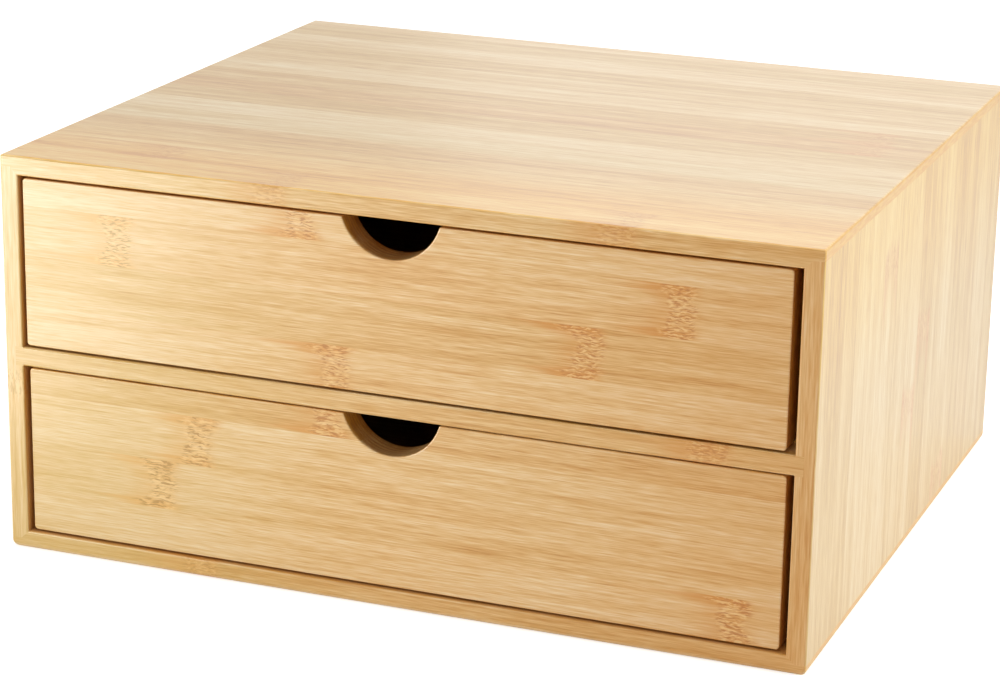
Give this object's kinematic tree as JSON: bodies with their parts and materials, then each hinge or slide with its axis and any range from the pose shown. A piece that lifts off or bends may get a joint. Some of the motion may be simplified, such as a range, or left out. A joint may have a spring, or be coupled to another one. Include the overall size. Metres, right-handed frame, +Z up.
{
  "type": "desktop drawer organizer",
  "caption": "Low bamboo desktop case with inset drawers, one above the other, each with a half-moon finger notch in its front.",
  "frame": {"origin": "on the surface it stands on, under the middle of the case", "axes": "+X to the right seen from the front, +Y to the back, +Z up; the drawers slide out along -Y"},
  "size_m": [0.34, 0.3, 0.167],
  "materials": {
    "bamboo_panel": "satin lacquered bamboo, grain along X",
    "bamboo_side": "satin lacquered bamboo, upright grain",
    "bamboo_shelf": "satin lacquered bamboo, grain along X",
    "bamboo_back": "satin bamboo board, grain along X",
    "bamboo_front": "satin lacquered bamboo, grain along X",
    "bamboo_wall": "satin bamboo board, long grain",
    "bamboo_floor": "thin bamboo panel, satin",
    "bamboo_dowel": "plain bamboo dowel"
  },
  "bodies": {
    "case": {"top_panel": "bamboo_panel", "bottom_panel": "bamboo_panel", "left_side_panel": "bamboo_side", "right_side_panel": "bamboo_side", "middle_shelf": "bamboo_shelf", "back_panel": "bamboo_back"},
    "upper_drawer": {"upper_drawer_front": "bamboo_front", "upper_drawer_left_side": "bamboo_wall", "upper_drawer_right_side": "bamboo_wall", "upper_drawer_back": "bamboo_wall", "upper_drawer_floor": "bamboo_floor", "upper_drawer_dowels": "bamboo_dowel"},
    "lower_drawer": {"lower_drawer_front": "bamboo_front", "lower_drawer_left_side": "bamboo_wall", "lower_drawer_right_side": "bamboo_wall", "lower_drawer_back": "bamboo_wall", "lower_drawer_floor": "bamboo_floor", "lower_drawer_dowels": "bamboo_dowel"}
  },
  "joints": [
    {"name": "upper_drawer_slide", "type": "slide", "parent": "case", "child": "upper_drawer", "axis": [0, -1, 0], "range_m": [0, 0.2]},
    {"name": "lower_drawer_slide", "type": "slide", "parent": "case", "child": "lower_drawer", "axis": [0, -1, 0], "range_m": [0, 0.2]}
  ]
}
